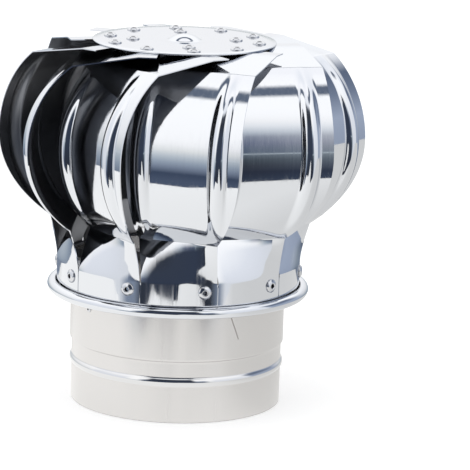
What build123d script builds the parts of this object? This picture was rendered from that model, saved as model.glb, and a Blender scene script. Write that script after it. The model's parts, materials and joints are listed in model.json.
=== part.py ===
from build123d import *
import os
from math import atan2, cos, degrees, hypot, radians, sin, sqrt

# A wind-driven turbine roof vent. Millimetres, +Z up, origin at the centre of the
# collar's lower edge, on the axis that the rotor turns about.

# Stock
SHEET = 0.5              # stainless sheet of the vanes, the collar and the ring
PLATE = 0.8              # top plate
STRAP = 1.5              # the two straps across the throat
SEAT_GAP = 0.02          # radial gap of pieces that seat on each other
HOLE_GAP = 0.05          # radial gap of a rivet in its hole

# Collar
SPIGOT_R = 51.5          # outside of the plain spigot
SPIGOT_H = 18.4          # plain length below the stop bead
STOP_BEAD_H = 3.3
STOP_BEAD_OUT = 0.8      # how far the stop bead stands out
NECK_H = 7.6             # plain length above the stop bead
STEP_H = 1.6             # height of the joggle to the wider part
STEP_OUT = 1.0           # how much wider the upper part is
COLLAR_H = 60.0

# Ring at the foot of the rotor
RUN_GAP = 6.0            # collar to ring, all round
RING_LAP = 6.5           # how far the ring hangs down over the collar
CURL_R = 2.75            # outside radius of the rolled rim
CURL_SWEEP = 300.0       # degrees of roll
RING_SHORT = 0.5         # how far the ring stops below the vanes' twist

# Vanes, each with its face along its own X, its width along Y
VANE_COUNT = 10
VANE_HEADING = 249.0     # degrees, way that the first vane faces
VANE_REACH = 69.5        # axis to the face at its widest
VANE_INNER = -1.0        # inner edge
EDGE_FOOT = 38.7         # free edge at the fold above the foot
EDGE_WIDEST = 55.6       # free edge at the widest height
EDGE_SHOULDER = 54.6     # free edge at the upper fold
EDGE_PLATE = 54.0        # free edge under the plate
LOWER_R = 54.2
LOWER_SWEEP = 49.6       # degrees of arc below the widest height
UPPER_R = 52.2
UPPER_SWEEP = 52.0       # degrees of arc above the widest height
TOP_RISE = 5.2           # from the upper fold to the plate
SEAT_IN = 10.0           # flat under the plate, from the axis
SEAT_OUT = 18.5
FOOT_GAP = 0.5           # foot to the rolled rim
FOOT_H = 10.5            # part of the foot that lies on the ring
TWIST_H = 19.2           # twisted part between the fold and the ring
FOOT_EDGE = 39.3         # degrees from the vane's heading to the foot's free edge
FOOT_SPACE = 0.6         # degrees between neighbouring feet

# Stiffening beads: place across the vane at the widest height, how far the bead leans
# inwards by the lower and the upper fold, and how far short of those folds it fades out
BEAD_W = 9.0
BEAD_H = 3.2             # at the widest height
BEAD_SINK = 0.6          # depth of the bead's form below the face at its ends
OUTER_BEAD = (44.6, 7.0, 0.5, 4.5, 4.0)
INNER_BEAD = (6.0, 4.0, 0.0, 6.0, 10.0)

# Top plate
PLATE_R = 44.5
BOSS_R = 8.0
BOSS_H = 3.0

# Blind rivets
RIVET_SHANK_R = 1.6
RIVET_HEAD_R = 3.25
RIVET_HEAD_H = 1.3
RIVET_BORE_R = 1.1
RIVET_RIM = 0.3          # share of the head's height at its rim
RIVET_SINK = 0.5         # depth of the bore below the seat, as a share of the head's height
RIVET_TAIL = 1.3         # length behind the sheets
TOP_RIVET = (16.0, 33.0)  # place on the vane
FOOT_RIVET_UP = 6.4      # above the foot's lower edge
FOOT_RIVET_IN = 6.1      # along the ring from the foot's free edge
BRIDGE_RIVET_SCALE = 0.5

# Ball bearing
BORE_R = 4.0
BEARING_R = 11.0
BEARING_H = 7.0
PITCH_R = 7.5
BALL_R = 1.985
BALL_COUNT = 7
BALL_GAP = 0.3
LAND_OFF = 1.45          # pitch circle to the edge of each race
CAGE_OFF = 0.8           # pitch circle to each face of the cage
CAGE_H = 4.6

# Bearing housing
HOUSING_T = 1.0
FLANGE_R = 30.0
FLANGE_GAP = 1.5         # flange to the vanes
HOUSING_LIP = 1.5        # lip that holds the outer ring
HOUSING_RIVETS = 4
HOUSING_RIVET_R = 25.0
HOUSING_RIVET_TURN = 5.0

# Shaft and its fasteners
SHAFT_R = 5.0
NUT_FLATS = 13.0
NUT_H = 6.5
TOP_NUT_H = 5.0
WASHER_R = 8.0
WASHER_T = 1.2
THREAD_OUT = 2.0         # thread beyond each nut
END_GAP = 1.5            # shaft end to the plate

# Straps
BRIDGE_W = 16.0
BRIDGE_DROP = 14.5       # collar's top edge to the bridge
BRIDGE_LUG_H = 11.0
BRIDGE_HEADING = 216.0
BRIDGE_RIVET_UP = 6.0
CROSSBAR_W = 20.0
CROSSBAR_LUG_H = 8.5
CROSSBAR_VANE = 2        # vane whose foot rivet holds the crossbar

# Bush
BUSH_R = 7.0
BUSH_RUN = 0.05          # radial running gap on the shaft
BUSH_FLANGE_R = 9.5
BUSH_FLANGE_T = 2.0
BUSH_BELOW = 8.0         # length below the crossbar
CLIP_T = 1.0
CLIP_OUT = 2.5
CLIP_GROOVE = 0.6
CLIP_GAP = 0.1

# Radii that follow
collar_r = SPIGOT_R + STEP_OUT
ring_in = collar_r + RUN_GAP
ring_out = ring_in + SHEET
foot_out = ring_out + SHEET
hole_r = RIVET_SHANK_R + HOLE_GAP

# Heights that follow
ring_z = COLLAR_H - RING_LAP
foot_z = ring_z + 2 * CURL_R + FOOT_GAP
twist_z = foot_z + FOOT_H
ring_top = twist_z - RING_SHORT
crossbar_z = ring_top - STRAP
fold_z = twist_z + TWIST_H
widest_z = fold_z + LOWER_R * sin(radians(LOWER_SWEEP))
shoulder_z = widest_z + UPPER_R * sin(radians(UPPER_SWEEP))
seat_z = shoulder_z + TOP_RISE
plate_top = seat_z + PLATE
bearing_top = seat_z - END_GAP - THREAD_OUT - TOP_NUT_H - WASHER_T
bearing_z = bearing_top - BEARING_H
bridge_top = COLLAR_H - BRIDGE_DROP
bridge_z = bridge_top - STRAP
foot_rivet_z = foot_z + FOOT_RIVET_UP

# Angles that follow
vane_pitch = 360.0 / VANE_COUNT
foot_start = FOOT_EDGE - vane_pitch + FOOT_SPACE
foot_rivet_turn = FOOT_EDGE - degrees(FOOT_RIVET_IN / foot_out)
crossbar_heading = VANE_HEADING + CROSSBAR_VANE * vane_pitch + foot_rivet_turn


def turned(edges):
    """A solid of revolution about the axis, from edges in the XZ plane."""
    return revolve(make_face(edges), Axis.Z)


def outline(*points):
    """Closed straight outline in the XZ plane."""
    return Polyline(*[(r, 0, z) for r, z in points], close=True).edges()


def disc(radius, bottom, top, hole=0.0):
    """A round disc, with a hole if one is given."""
    body = Pos(0, 0, bottom) * extrude(Circle(radius), top - bottom)
    if hole:
        body -= Pos(0, 0, bottom) * extrude(Circle(hole), top - bottom)
    return body


def polar(radius, turn, height):
    """Point at a radius, a turn in degrees from the X axis and a height."""
    return (radius * cos(radians(turn)), radius * sin(radians(turn)), height)


def rivet(grip, scale=1.0):
    """Blind rivet along Z: the head's seat at 0, the tail below."""
    shank = RIVET_SHANK_R * scale
    head = RIVET_HEAD_R * scale
    rise = RIVET_HEAD_H * scale
    bore = RIVET_BORE_R * scale
    crown = (head + 2 * bore) / 3
    low = -grip - RIVET_TAIL
    sink = -RIVET_SINK * rise
    return turned(outline(
        (0, low), (shank, low), (shank, 0), (head, 0), (head, RIVET_RIM * rise),
        (crown, rise), (bore, rise), (bore, sink), (0, sink)))


def radial_frame(radius, turn, height):
    """Frame on a cylinder about the axis, with Z pointing outwards."""
    return Plane(polar(radius, turn, height), x_dir=(0, 0, 1), z_dir=polar(1, turn, 0))


def radial_hole(radius, turn, height, depth):
    """Drill for a radial hole, centred on the given point."""
    return radial_frame(radius, turn, height) * Cylinder(hole_r, depth)


def hex_nut(height, bottom):
    """Plain hexagon nut on the shaft's thread."""
    body = extrude(RegularPolygon(NUT_FLATS / 2, 6, major_radius=False), height)
    return Pos(0, 0, bottom) * (body - extrude(Circle(BORE_R + SEAT_GAP), height))


def base_collar():
    """Rolled sheet collar with a stop bead and a joggled upper part."""
    bead_top = SPIGOT_H + STOP_BEAD_H
    step_z = bead_top + NECK_H
    step_top = step_z + STEP_H

    def wall(offset):
        """Edges of one side of the sheet, from the bottom up."""
        r = SPIGOT_R - offset
        upper = collar_r - offset
        crest = (r + STOP_BEAD_OUT, 0, SPIGOT_H + STOP_BEAD_H / 2)
        return [
            Line((r, 0, 0), (r, 0, SPIGOT_H)),
            ThreePointArc((r, 0, SPIGOT_H), crest, (r, 0, bead_top)),
            Polyline((r, 0, bead_top), (r, 0, step_z), (upper, 0, step_top), (upper, 0, COLLAR_H)),
        ]

    edges = wall(0) + wall(SHEET)
    for r, z in ((SPIGOT_R, 0), (collar_r, COLLAR_H)):
        edges.append(Line((r - SHEET, 0, z), (r, 0, z)))
    collar = turned([edge for curve in edges for edge in curve.edges()])
    for side in (0, 180):
        collar -= radial_hole(collar_r, BRIDGE_HEADING + side, bridge_z + BRIDGE_RIVET_UP, 4 * SHEET)
    return collar


def strap(width, wall_r, bottom, lug_bottom, lug_h, heading):
    """Flat strap across a round wall, its end lugs curved to lie on the wall."""
    inside = wall_r - SEAT_GAP
    flat = Pos(0, 0, bottom) * extrude(Rectangle(2 * inside, width), STRAP)
    flat &= disc(inside, bottom, bottom + STRAP)
    lugs = Pos(0, 0, lug_bottom) * extrude(Rectangle(2 * inside, width), lug_h)
    lugs &= disc(inside, lug_bottom, lug_bottom + lug_h, inside - STRAP)
    return Rot(0, 0, heading) * (flat + lugs)


def base_bridge():
    """Strap that carries the shaft, its lugs turned up against the collar."""
    bridge = strap(BRIDGE_W, collar_r - SHEET, bridge_z, bridge_z, BRIDGE_LUG_H, BRIDGE_HEADING)
    bridge -= disc(BORE_R + HOLE_GAP, bridge_z, bridge_top)
    for side in (0, 180):
        bridge -= radial_hole(collar_r, BRIDGE_HEADING + side, bridge_z + BRIDGE_RIVET_UP, 6 * STRAP)
    return bridge


def bridge_rivets():
    """Two small rivets through the collar and the bridge's lugs."""
    grip = SHEET + SEAT_GAP + STRAP
    small = rivet(grip, BRIDGE_RIVET_SCALE)
    height = bridge_z + BRIDGE_RIVET_UP
    return [radial_frame(collar_r, BRIDGE_HEADING + side, height) * small for side in (0, 180)]


def shaft():
    """Fixed spindle: a stout middle with a thinner stub at each end."""
    stub = BORE_R - SEAT_GAP
    low = bridge_z - WASHER_T - NUT_H - THREAD_OUT
    high = bearing_top + WASHER_T + TOP_NUT_H + THREAD_OUT
    return turned(outline(
        (0, low), (stub, low), (stub, bridge_top), (SHAFT_R, bridge_top),
        (SHAFT_R, bearing_z), (stub, bearing_z), (stub, high), (0, high)))


def race_groove():
    """Space that the balls run through, all round."""
    middle = bearing_z + BEARING_H / 2
    return Pos(0, 0, middle) * Torus(PITCH_R, BALL_R + BALL_GAP)


def bearing_inner_ring():
    return disc(PITCH_R - LAND_OFF, bearing_z, bearing_top, BORE_R) - race_groove()


def bearing_outer_ring():
    return disc(BEARING_R - SEAT_GAP, bearing_z, bearing_top, PITCH_R + LAND_OFF) - race_groove()


def bearing_balls():
    """Balls spaced evenly on the pitch circle."""
    middle = bearing_z + BEARING_H / 2
    turns = [360 * i / BALL_COUNT for i in range(BALL_COUNT)]
    return [Pos(*polar(PITCH_R, turn, middle)) * Sphere(BALL_R) for turn in turns]


def bearing_cage():
    """Ring with a round pocket for each ball."""
    middle = bearing_z + BEARING_H / 2
    cage = disc(PITCH_R + CAGE_OFF, middle - CAGE_H / 2, middle + CAGE_H / 2, PITCH_R - CAGE_OFF)
    pocket = Cylinder(BALL_R + HOLE_GAP, 4 * CAGE_OFF)
    for i in range(BALL_COUNT):
        cage -= radial_frame(PITCH_R, 360 * i / BALL_COUNT, middle) * pocket
    return cage


def top_rivet_places(height):
    """Places of the rivets that hold the vanes to the plate."""
    own = degrees(atan2(TOP_RIVET[1], TOP_RIVET[0]))
    turns = [VANE_HEADING + own + i * vane_pitch for i in range(VANE_COUNT)]
    return [Pos(*polar(hypot(*TOP_RIVET), turn, height)) for turn in turns]


def housing_rivet_places(height):
    """Places of the rivets that hold the bearing housing to the plate."""
    turns = [HOUSING_RIVET_TURN + 360 * i / HOUSING_RIVETS for i in range(HOUSING_RIVETS)]
    return [Pos(*polar(HOUSING_RIVET_R, turn, height)) for turn in turns]


def bearing_housing():
    """Pressed hat: flange under the plate, neck, pocket for the bearing and a rolled lip."""
    neck = BEARING_R - HOUSING_LIP
    pocket = BEARING_R + HOUSING_T
    flange = seat_z - HOUSING_T
    roof = bearing_top + HOUSING_T
    under = bearing_z - HOUSING_T
    hat = turned(outline(
        (neck, seat_z), (FLANGE_R, seat_z), (FLANGE_R, flange), (neck + HOUSING_T, flange),
        (neck + HOUSING_T, roof), (pocket, roof), (pocket, under), (neck, under),
        (neck, bearing_z), (BEARING_R, bearing_z), (BEARING_R, bearing_top), (neck, bearing_top)))
    for place in housing_rivet_places(seat_z):
        hat -= place * Cylinder(hole_r, 4 * HOUSING_T)
    return hat


def top_plate():
    """Flat round plate with a domed boss pressed up over the shaft's end."""
    dome_r = (BOSS_R ** 2 + BOSS_H ** 2) / (2 * BOSS_H)
    centre = plate_top + BOSS_H - dome_r
    inner = dome_r - PLATE
    inner_r = sqrt(inner ** 2 - (seat_z - centre) ** 2)

    def cap(radius, rim_r, rim_z):
        """Arc from the rim up to the axis."""
        half = Vector(rim_r, 0, rim_z - centre).get_angle(Vector(0, 0, 1)) / 2
        middle = (radius * sin(radians(half)), 0, centre + radius * cos(radians(half)))
        return ThreePointArc((rim_r, 0, rim_z), middle, (0, 0, centre + radius))

    edges = [
        cap(dome_r, BOSS_R, plate_top),
        Polyline(
            (BOSS_R, 0, plate_top), (PLATE_R, 0, plate_top), (PLATE_R, 0, seat_z), (inner_r, 0, seat_z)),
        cap(inner, inner_r, seat_z),
        Line((0, 0, centre + inner), (0, 0, centre + dome_r)),
    ]
    plate = turned([edge for curve in edges for edge in curve.edges()])
    for place in top_rivet_places(seat_z) + housing_rivet_places(seat_z):
        plate -= place * Cylinder(hole_r, 4 * PLATE)
    return plate


def top_rivets():
    one = rivet(PLATE + SHEET)
    return [place * one for place in top_rivet_places(plate_top)]


def housing_rivets():
    one = rivet(PLATE + HOUSING_T)
    return [place * one for place in housing_rivet_places(plate_top)]


def foot_rivet_turns():
    """Headings of the rivets that hold the vane feet to the ring."""
    return [VANE_HEADING + foot_rivet_turn + i * vane_pitch for i in range(VANE_COUNT)]


def bottom_ring():
    """Sheet ring with its lower edge rolled outwards."""
    centre = Vector(ring_in + CURL_R, 0, ring_z + CURL_R)

    def roll(radius):
        """Arc of the rolled rim, from the wall, under and round."""
        def at(turn):
            return centre + radius * Vector(cos(radians(turn)), 0, sin(radians(turn)))
        return ThreePointArc(at(180), at(180 + CURL_SWEEP / 2), at(180 + CURL_SWEEP))

    outer = roll(CURL_R)
    inner = roll(CURL_R - SHEET)
    edges = [
        outer,
        inner,
        Line(outer @ 1, inner @ 1),
        Polyline(outer @ 0, (ring_in, 0, ring_top), (ring_out, 0, ring_top), inner @ 0),
    ]
    ring = turned([edge for curve in edges for edge in curve.edges()])
    for turn in foot_rivet_turns():
        ring -= radial_hole(ring_in, turn, foot_rivet_z, 4 * SHEET)
    return ring


def bottom_rivets():
    one = rivet(2 * SHEET)
    return [radial_frame(foot_out, turn, foot_rivet_z) * one for turn in foot_rivet_turns()]


def rotor_crossbar():
    """Strap that carries the bush, its lugs turned down inside the ring."""
    lug_z = ring_top - CROSSBAR_LUG_H
    bar = strap(CROSSBAR_W, ring_in, crossbar_z, lug_z, CROSSBAR_LUG_H, crossbar_heading)
    bar -= disc(BUSH_R + SEAT_GAP, crossbar_z, ring_top)
    for side in (0, 180):
        bar -= radial_hole(ring_in, crossbar_heading + side, foot_rivet_z, 6 * STRAP)
    return bar


def bush():
    """Flanged bush with a groove for its clip, running on the shaft."""
    body = disc(BUSH_R, crossbar_z - BUSH_BELOW, ring_top, SHAFT_R + BUSH_RUN)
    body += disc(BUSH_FLANGE_R, ring_top, ring_top + BUSH_FLANGE_T, SHAFT_R + BUSH_RUN)
    body -= disc(2 * BUSH_R, crossbar_z - CLIP_T - CLIP_GAP, crossbar_z, BUSH_R - CLIP_GROOVE)
    return body


def bush_clip():
    """Snap ring under the crossbar, open at one side."""
    ring = disc(BUSH_R + CLIP_OUT, crossbar_z - CLIP_T, crossbar_z, BUSH_R - CLIP_GROOVE + SEAT_GAP)
    gap = Pos(BUSH_R, 0, crossbar_z - CLIP_T / 2) * Box(2 * BUSH_R, BUSH_R, 2 * CLIP_T)
    return ring - gap


def on_arc(radius, turn):
    """Point of the vane's face curve, at a turn up or down from its widest height."""
    turn = radians(turn)
    return (VANE_REACH - radius + radius * cos(turn), 0, widest_z + radius * sin(turn))


def vane_profile(inset):
    """Face curve of the vane from the plate down to the fold, moved inwards by an inset."""
    lower = LOWER_R - inset
    upper = UPPER_R - inset
    drop = widest_z - fold_z
    foot = (VANE_REACH - LOWER_R + sqrt(lower ** 2 - drop ** 2), 0, fold_z)
    halfway = radians(LOWER_SWEEP / 2)
    lower_mid = (VANE_REACH - LOWER_R + lower * cos(halfway), 0, widest_z - lower * sin(halfway))
    widest = (VANE_REACH - inset, 0, widest_z)
    halfway = radians(UPPER_SWEEP / 2)
    upper_mid = (VANE_REACH - UPPER_R + upper * cos(halfway), 0, widest_z + upper * sin(halfway))
    end = radians(UPPER_SWEEP)
    shoulder = (VANE_REACH - UPPER_R + upper * cos(end), 0, widest_z + upper * sin(end))
    return [
        Polyline((SEAT_IN, 0, seat_z - inset), (SEAT_OUT, 0, seat_z - inset), shoulder),
        ThreePointArc(shoulder, upper_mid, widest),
        ThreePointArc(widest, lower_mid, foot),
    ]


def vane_slab(edges, start, end):
    """Solid across the vane, from closed profile edges."""
    face = make_face([edge for curve in edges for edge in curve.edges()])
    return Pos(0, start, 0) * extrude(face, end - start, dir=(0, 1, 0))


def bead_half(place, lean, gap, way, bar_r, sunk):
    """Half of a bead's form: a bar bent along the face from its widest height until it is sunk."""
    face_r, arc = (UPPER_R, UPPER_SWEEP) if way > 0 else (LOWER_R, LOWER_SWEEP)
    fade = radians(arc) - gap / face_r
    turn = fade * sqrt(1 + BEAD_SINK / BEAD_H)
    path_r = face_r - sunk
    end_r = path_r - BEAD_H - BEAD_SINK
    back = path_r - end_r * cos(turn)
    aside = lean * (turn / radians(arc)) ** 2
    rise = end_r * sin(turn)
    reach = hypot(back, aside)
    bend_r = (reach ** 2 + rise ** 2) / (2 * reach)
    inwards = Vector(-back, -aside, 0) / reach
    along = Vector(0, 0, way)
    start = Plane((VANE_REACH - sunk, place, widest_z), z_dir=along)
    bend = Axis(start.origin + inwards * bend_r, along.cross(inwards))
    angle = degrees(atan2(rise, bend_r - reach))
    return revolve(start * Circle(bar_r), bend, angle)


def bead_form(bead, bar_r, sunk):
    """Bar along the vane's face that a bead is pressed over."""
    place, lower_lean, upper_lean, lower_gap, upper_gap = bead
    lower = bead_half(place, lower_lean, lower_gap, -1, bar_r, sunk)
    return lower + bead_half(place, upper_lean, upper_gap, 1, bar_r, sunk)


def vane_foot():
    """Twisted strip from the straight fold to the round ring, and the part on the ring."""
    outer = (vane_profile(0)[-1] @ 1).X
    inner = (vane_profile(SHEET)[-1] @ 1).X
    fold = make_face(Polyline(
        (outer, VANE_INNER, fold_z), (outer, EDGE_FOOT, fold_z), (inner, EDGE_FOOT, fold_z),
        (inner, VANE_INNER, fold_z), close=True).edges())
    middle = (foot_start + FOOT_EDGE) / 2

    def arc(radius):
        """Arc on the ring, from the foot's inner edge to its free edge."""
        turns = (foot_start, middle, FOOT_EDGE)
        return ThreePointArc(*[polar(radius, turn, twist_z) for turn in turns])

    outside = arc(foot_out)
    inside = arc(ring_out)
    edges = [outside, Line(outside @ 1, inside @ 1), inside, Line(inside @ 0, outside @ 0)]
    seat = make_face([edge for curve in edges for edge in curve.edges()])
    return loft([seat, fold], ruled=True) + extrude(seat, FOOT_H, dir=(0, 0, -1))


def vane():
    """One vane: bent sheet cut to its outline, two pressed beads, twisted foot and rivet holes."""
    far = VANE_REACH + UPPER_R
    outer = vane_profile(0)
    inner = vane_profile(SHEET)
    ends = [Line(outer[0] @ 0, inner[0] @ 0), Line(outer[-1] @ 1, inner[-1] @ 1)]
    sheet = vane_slab(outer + inner + ends, VANE_INNER, far)
    behind = Polyline(inner[-1] @ 1, (0, 0, fold_z), (0, 0, seat_z - SHEET), inner[0] @ 0)
    core = vane_slab(inner + [behind], VANE_INNER - far, far)

    bead_r = (BEAD_W ** 2 / 4 + BEAD_H ** 2) / (2 * BEAD_H)
    for bead in (OUTER_BEAD, INNER_BEAD):
        sheet += bead_form(bead, bead_r, bead_r - BEAD_H) - core
        sheet -= bead_form(bead, bead_r - SHEET, bead_r - BEAD_H)

    widest = (0, EDGE_WIDEST, widest_z)
    foot = (0, EDGE_FOOT, fold_z)
    shoulder = (0, EDGE_SHOULDER, shoulder_z)
    edge = [
        TangentArc(widest, foot, tangent=(0, 0, -1)),
        TangentArc(widest, shoulder, tangent=(0, 0, 1)),
        Polyline(
            shoulder, (0, EDGE_SHOULDER, plate_top), (0, VANE_INNER, plate_top),
            (0, VANE_INNER, fold_z), foot),
    ]
    blank = make_face([part for curve in edge for part in curve.edges()])
    sheet &= extrude(blank, far, dir=(1, 0, 0))

    fold_x = on_arc(UPPER_R, UPPER_SWEEP)[0]
    corner = Polyline(
        (fold_x, EDGE_SHOULDER), (SEAT_OUT, EDGE_PLATE), (0, EDGE_PLATE),
        (0, far), (fold_x, far), close=True)
    sheet -= Pos(0, 0, shoulder_z - TOP_RISE) * extrude(make_face(corner.edges()), 3 * TOP_RISE)
    sheet -= disc(FLANGE_R + FLANGE_GAP, shoulder_z - TOP_RISE, plate_top)

    body = sheet + vane_foot()
    body -= Pos(*TOP_RIVET, seat_z) * Cylinder(hole_r, 4 * SHEET)
    body -= radial_hole(ring_out, foot_rivet_turn, foot_rivet_z, 4 * SHEET)
    return body


nodes = {
    "base_collar": base_collar(),
    "base_bridge": base_bridge(),
    "bridge_rivets": bridge_rivets(),
    "shaft": shaft(),
    "shaft_washer": disc(WASHER_R, bridge_z - WASHER_T, bridge_z, BORE_R + SEAT_GAP),
    "shaft_nut": hex_nut(NUT_H, bridge_z - WASHER_T - NUT_H),
    "bearing_inner_ring": bearing_inner_ring(),
    "top_washer": disc(PITCH_R - LAND_OFF, bearing_top, bearing_top + WASHER_T, BORE_R + SEAT_GAP),
    "top_nut": hex_nut(TOP_NUT_H, bearing_top + WASHER_T),
    "bearing_balls": bearing_balls(),
    "bearing_cage": bearing_cage(),
    "top_plate": top_plate(),
    "bottom_ring": bottom_ring(),
    "rotor_crossbar": rotor_crossbar(),
    "bush": bush(),
    "bush_clip": bush_clip(),
    "bearing_housing": bearing_housing(),
    "bearing_outer_ring": bearing_outer_ring(),
    "top_rivets": top_rivets(),
    "housing_rivets": housing_rivets(),
    "bottom_rivets": bottom_rivets(),
}
one_vane = vane()
for index in range(VANE_COUNT):
    nodes[f"vane_{index + 1:02d}"] = Rot(0, 0, VANE_HEADING + index * vane_pitch) * one_vane

os.makedirs("parts", exist_ok=True)
for name, body in nodes.items():
    pieces = body if isinstance(body, list) else [body]
    solids = [solid for piece in pieces for solid in piece.solids()]
    export_step(solids[0] if len(solids) == 1 else Compound(children=solids), f"parts/{name}.step")
    print(name, len(solids), round(sum(solid.volume for solid in solids), 1))
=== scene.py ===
# %% [markdown]
# # A turbine roof vent in polished stainless steel
# Wind turns a cage of ten pressed vanes on a fixed collar, and the turning cage draws air up out of
# the duct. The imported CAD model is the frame: it fixes every size and everything that moves. Bent
# sheet that is polished like a mirror shows every facet of a CAD mesh, so the sheet pieces are made
# again here, on the same sizes, as fine smooth meshes. The hidden pieces keep their CAD meshes and
# get finishes.

# %% Tools and the frame
import json
from math import atan2, cos, exp, hypot, pi, radians, sin, sqrt

import bmesh
import bpy
import numpy as np
from mathutils import Matrix, Vector

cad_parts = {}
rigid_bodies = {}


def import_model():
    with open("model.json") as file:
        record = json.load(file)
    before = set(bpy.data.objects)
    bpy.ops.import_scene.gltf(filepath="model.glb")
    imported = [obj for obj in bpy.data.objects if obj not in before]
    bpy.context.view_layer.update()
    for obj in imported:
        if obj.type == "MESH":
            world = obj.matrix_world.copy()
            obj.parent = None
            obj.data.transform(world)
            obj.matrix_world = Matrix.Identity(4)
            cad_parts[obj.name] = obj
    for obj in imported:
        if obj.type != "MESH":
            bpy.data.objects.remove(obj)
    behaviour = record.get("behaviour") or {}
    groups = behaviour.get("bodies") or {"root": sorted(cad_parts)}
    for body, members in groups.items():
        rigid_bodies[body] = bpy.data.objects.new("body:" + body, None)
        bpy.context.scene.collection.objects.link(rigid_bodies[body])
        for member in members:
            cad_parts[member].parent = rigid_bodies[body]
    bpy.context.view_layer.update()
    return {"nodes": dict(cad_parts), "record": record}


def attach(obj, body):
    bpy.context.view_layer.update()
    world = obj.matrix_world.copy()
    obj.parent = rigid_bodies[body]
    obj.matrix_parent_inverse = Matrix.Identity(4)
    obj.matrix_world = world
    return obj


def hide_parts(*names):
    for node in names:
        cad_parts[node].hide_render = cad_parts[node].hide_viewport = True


for thing in list(bpy.data.objects):
    bpy.data.objects.remove(thing)
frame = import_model()
MM = 0.001

# %% [markdown]
# ## Colours and nodes
# A colour picked on a screen follows a curve that shaders don't use, so one function turns a hex
# colour to linear values. Nodes could be added and linked line by line. One function that adds a node
# of any kind, with its settings and links, keeps each tree short enough to read.


# %% Colours and nodes
def srgb(code):
    """Linear RGBA of a hex colour."""
    parts = [int(code[i:i + 2], 16) / 255 for i in (1, 3, 5)]
    return (*[v / 12.92 if v <= 0.04045 else ((v + 0.055) / 1.055) ** 2.4 for v in parts], 1.0)


def put(tree, kind, inputs=None, **settings):
    """Adds a node. Inputs hold plain values or sockets of other nodes."""
    made = tree.nodes.new(kind)
    for name, value in settings.items():
        setattr(made, name, value)
    for name, value in (inputs or {}).items():
        if isinstance(value, bpy.types.NodeSocket):
            tree.links.new(value, made.inputs[name])
        else:
            made.inputs[name].default_value = value
    return made


print("middle grey in linear light:", round(srgb("#808080")[0], 3))

# %% [markdown]
# ## Finishes
# Every piece is bare metal, and how its surface was made is what tells one from another. A polished
# sheet gives a clear picture of the room, a rolled sheet a soft one, and a cut edge hardly any. The
# marks of a tool could be painted on, but then they would not follow the light. Here they are a noise
# that is stretched along the tool's path and changes the roughness and, a little, the surface.

# %% A bare metal with the marks of its tool
UPRIGHT, ONE_WAY, ROUND_ABOUT, ALL_WAYS = (1, 1, 0.02), (0.02, 1, 1), (0.2, 0.2, 1), (1, 1, 1)
MARK_DETAIL, MARK_LOW, MARK_HIGH, MARK_DEEP = 3.0, 0.3, 0.7, 0.1


def metal(name, colour, roughness, marks=None, along=UPRIGHT, metallic=1.0):
    """A bare metal. Marks are their width in mm, their change of roughness and the strength of their bump."""
    made = bpy.data.materials.new(name)
    made.use_nodes = True
    tree = made.node_tree
    shader = tree.nodes["Principled BSDF"]
    shader.inputs["Metallic"].default_value = metallic
    shader.inputs["Base Color"].default_value = srgb(colour)
    shader.inputs["Roughness"].default_value = roughness
    if marks:
        wide, rougher, bumpy = marks
        place = put(tree, "ShaderNodeTexCoord")
        scale = put(tree, "ShaderNodeMapping", {"Vector": place.outputs["Object"], "Scale": along})
        grain = put(tree, "ShaderNodeTexNoise", {
            "Vector": scale.outputs["Vector"], "Scale": 1 / (wide * MM), "Detail": MARK_DETAIL})
        span = put(tree, "ShaderNodeMapRange", {
            "Value": grain.outputs["Fac"], "From Min": MARK_LOW, "From Max": MARK_HIGH,
            "To Min": max(roughness - rougher, 0.0), "To Max": roughness + rougher})
        tree.links.new(span.outputs["Result"], shader.inputs["Roughness"])
        bump = put(tree, "ShaderNodeBump", {
            "Height": grain.outputs["Fac"], "Strength": bumpy, "Distance": MARK_DEEP * MM})
        tree.links.new(bump.outputs["Normal"], shader.inputs["Normal"])
    print("finish:", name)
    return made


# %% [markdown]
# The marks of a polishing wheel, a mill or a lathe are about a tenth of a millimetre apart. That is
# too fine to show in the render, so all but the collar's are drawn coarser than they are. The marks on
# the collar come from the bending rolls and are as wide as given.

# %% Stainless sheet and rivets
# Wheel-polished sheet gives a clear picture of the room, broken by faint upright lines.
mirror_stainless = metal("mirror_polished_stainless", "#dcdee2", 0.06, (1.2, 0.05, 0.03))
# The side that the wheel never touched is grey and gives only a dim blur. Its dark grey is partly that
# bare finish and partly painted shade, which darkens the hollows of the scoops.
unpolished_side_and_shade = metal("unpolished_inner_side_and_shade", "#84868b", 0.32, (8.0, 0.03, 0.0))
# Bright rolled sheet has a soft shine with a little haze, in broad upright bands.
collar_stainless = metal(
    "rolled_bright_stainless", "#d8d6d5", 0.23, (9.0, 0.05, 0.012), metallic=0.95)
# The forming roller rubs the stop bead bright, so it has sharp thin lights round the collar.
burnished_bead = metal("roller_burnished_bead", "#dcdcdd", 0.05)
# The lap's edge is a thin grey line of painted shadow, where the lap steps out over the wall, in a dull
# finish.
lap_edge_painted_shadow = metal("painted_lap_edge_shadow", "#aeaaa7", 0.5)
# Pressed rivet heads have small soft lights.
rivet_stainless = metal("bright_blind_rivet_steel", "#d3d4d7", 0.14)
# The bore where the pin broke off is painted dark as painted shade, since deep in the rivet it gets no light.
bore_painted_shade = metal("rivet_bore_painted_shade", "#26272a", 0.6)

# %% Metals of the hidden pieces
# Strip as it comes from the mill is dull grey, with lines that all run one way.
strap_steel = metal("mill_finish_steel_strip", "#a9abad", 0.42, (0.8, 0.10, 0.05), ONE_WAY)
# Turned and zinc-plated steel has fine rings round its axis.
turned_steel = metal("turned_zinc_bright_steel", "#b4b6b8", 0.30, (0.4, 0.08, 0.05), ROUND_ABOUT)
# Ground steel is smooth and nearly a mirror.
bearing_steel = metal("ground_bearing_steel", "#c2c4c8", 0.10)
# Pressed brass has a warm, soft shine.
cage_brass = metal("pressed_brass", "#b58d45", 0.32)
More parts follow.
